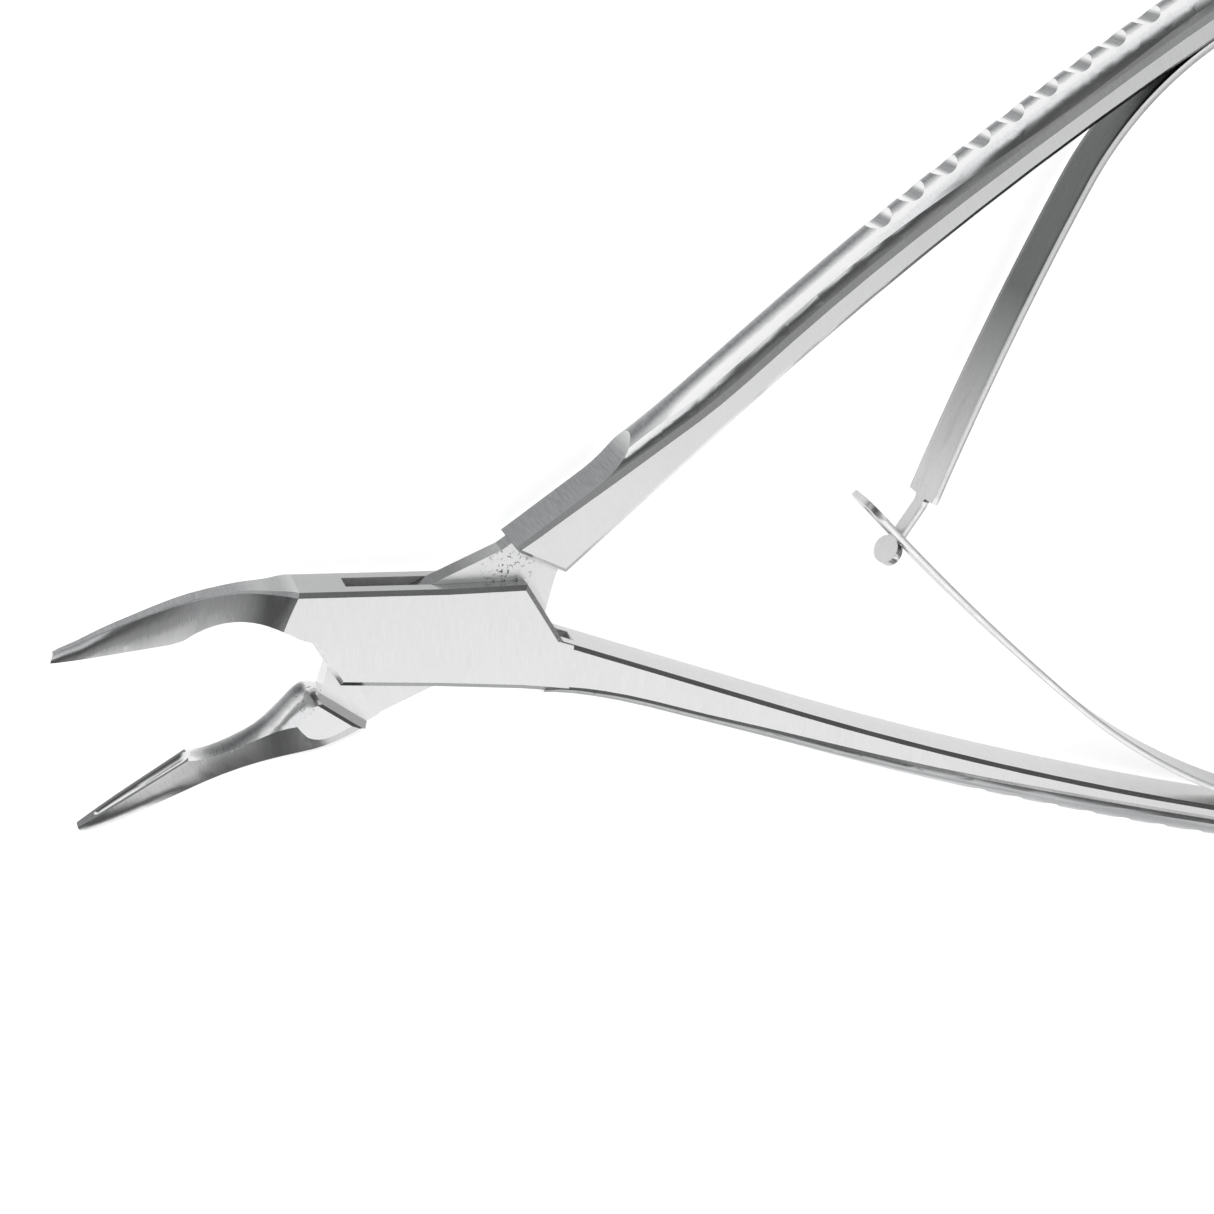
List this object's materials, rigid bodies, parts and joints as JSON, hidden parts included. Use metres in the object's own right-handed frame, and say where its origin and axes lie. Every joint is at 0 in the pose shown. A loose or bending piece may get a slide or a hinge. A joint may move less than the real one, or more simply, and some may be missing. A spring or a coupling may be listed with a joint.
{
  "type": "bone rongeur forceps",
  "caption": "Box-joint rongeur pliers with long hollowed cup jaws, grooved handles and interlocking leaf springs that hold them open.",
  "frame": {"origin": "where the pivot's axis meets the flat face that the tool lies on", "axes": "+Z along the pivot's axis, through the tool's thickness; +X from the jaws to the handles, along the box half; +Y towards the tongue half's handle"},
  "size_m": [0.1367, 0.0916, 0.007],
  "materials": {
    "satin_steel": "satin ground stainless steel",
    "spring_steel": "brushed spring steel",
    "screw_steel": "bright turned steel"
  },
  "bodies": {
    "box": {"box_half": "satin_steel", "pivot_pin": "satin_steel", "eyed_leaf_foot": "spring_steel", "box_leaf_screw": "screw_steel"},
    "tongue": {"tongue_half": "satin_steel", "headed_leaf_foot": "spring_steel", "tongue_leaf_screw": "screw_steel"},
    "eyed_spring": {"eyed_leaf_blade": "spring_steel"},
    "headed_spring": {"headed_leaf_blade": "spring_steel"}
  },
  "joints": [
    {"name": "box_joint", "type": "hinge", "parent": "box", "child": "tongue", "pos_m": [0, 0, 0.0035], "axis": [0, 0, 1], "range_deg": [-24.7, 0], "stiffness_Nm_per_rad": 1.5, "springref_deg": 2.86},
    {"name": "eyed_leaf_bend", "type": "hinge", "parent": "box", "child": "eyed_spring", "pos_m": [0.07587, -0.01594, 0.0035], "axis": [0, 0, 1], "range_deg": [0, 13.2]},
    {"name": "headed_leaf_bend", "type": "hinge", "parent": "tongue", "child": "headed_spring", "pos_m": [0.05969, 0.04634, 0.0035], "axis": [0, 0, 1], "range_deg": [-14.2, 0]}
  ],
  "couplings": [
    {"joint": "eyed_leaf_bend", "follows": "box_joint", "ratio": -0.53},
    {"joint": "headed_leaf_bend", "follows": "box_joint", "ratio": 0.57}
  ]
}
